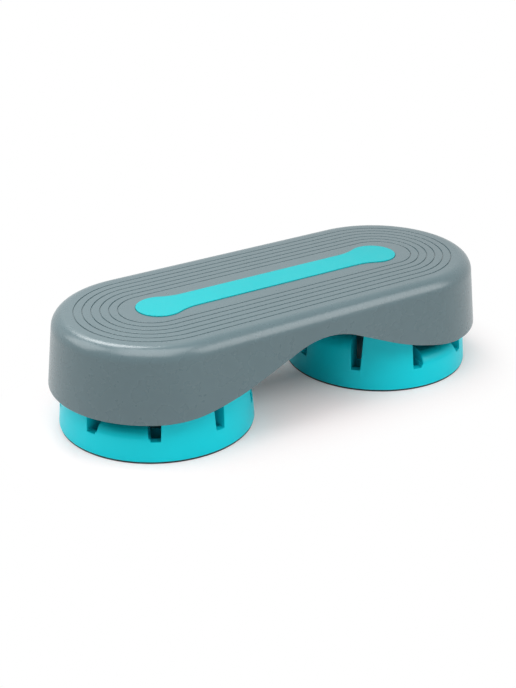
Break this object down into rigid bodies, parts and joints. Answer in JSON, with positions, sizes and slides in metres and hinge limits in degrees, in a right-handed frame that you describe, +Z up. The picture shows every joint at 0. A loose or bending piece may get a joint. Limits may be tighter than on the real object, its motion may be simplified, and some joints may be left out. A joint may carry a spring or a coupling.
{
  "type": "aerobic step platform",
  "caption": "Low stadium-shaped aerobic step with an arched skirt and a grooved tread with a long inlay, on two round feet that turn, with the deck lifted off, to set the step height",
  "frame": {"origin": "on the floor under the middle of the step", "axes": "+X along the step's length, +Y across it, +Z up"},
  "size_m": [0.6726, 0.2914, 0.1637],
  "materials": {
    "deck_plastic": "satin blue-grey moulded polypropylene with a fine grain",
    "inlay_plastic": "satin turquoise moulded plastic",
    "foot_plastic": "satin turquoise moulded polypropylene",
    "ring_rubber": "matte black soft rubber",
    "screw_steel": "zinc-plated steel"
  },
  "bodies": {
    "floor_rings": {"left_floor_ring": "ring_rubber", "right_floor_ring": "ring_rubber"},
    "left_foot": {"left_foot": "foot_plastic"},
    "right_foot": {"right_foot": "foot_plastic"},
    "deck": {"deck_shell": "deck_plastic", "deck_inlay": "inlay_plastic", "inlay_screws": "screw_steel"}
  },
  "joints": [
    {"name": "deck_lift", "type": "slide", "parent": "floor_rings", "child": "deck", "axis": [0, 0, 1], "range_m": [0, 0.06]},
    {"name": "left_foot_turn", "type": "hinge", "parent": "floor_rings", "child": "left_foot", "pos_m": [-0.19, 0, 0.0025], "axis": [0, 0, 1], "range_deg": [0, 80]},
    {"name": "right_foot_turn", "type": "hinge", "parent": "floor_rings", "child": "right_foot", "pos_m": [0.19, 0, 0.0025], "axis": [0, 0, 1], "range_deg": [0, 80]}
  ]
}
